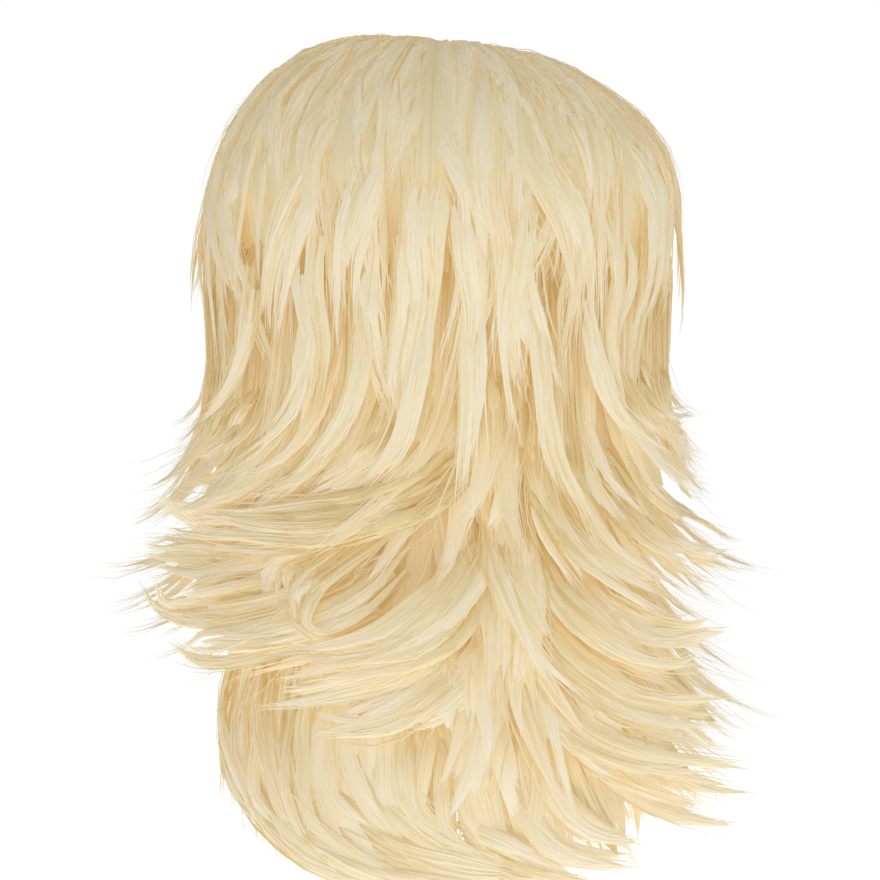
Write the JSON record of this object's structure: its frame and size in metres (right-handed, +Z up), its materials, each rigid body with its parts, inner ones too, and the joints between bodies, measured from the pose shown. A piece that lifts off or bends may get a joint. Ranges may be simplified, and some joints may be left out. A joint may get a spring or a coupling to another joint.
{
  "type": "curly wig",
  "caption": "Shoulder-length blonde wig in feathered layers with flicked-out ends, sewn to a hollow stretch cap that fits over the head.",
  "frame": {"origin": "inside apex of the cap, where it sits on top of the head", "axes": "+Z up, -Y the way the wearer faces, +X the wearer's left"},
  "size_m": [0.3067, 0.2629, 0.4123],
  "materials": {
    "cap_net": "stretch net with sewn rows",
    "hair_fibre": "pale blonde synthetic fibre with a soft shine"
  },
  "bodies": {
    "root": {"wig_cap": "cap_net", "nape_hair": "hair_fibre", "lower_tier": "hair_fibre", "middle_tier": "hair_fibre", "upper_tier": "hair_fibre", "fringe": "hair_fibre", "crown_hair": "hair_fibre"}
  },
  "joints": []
}
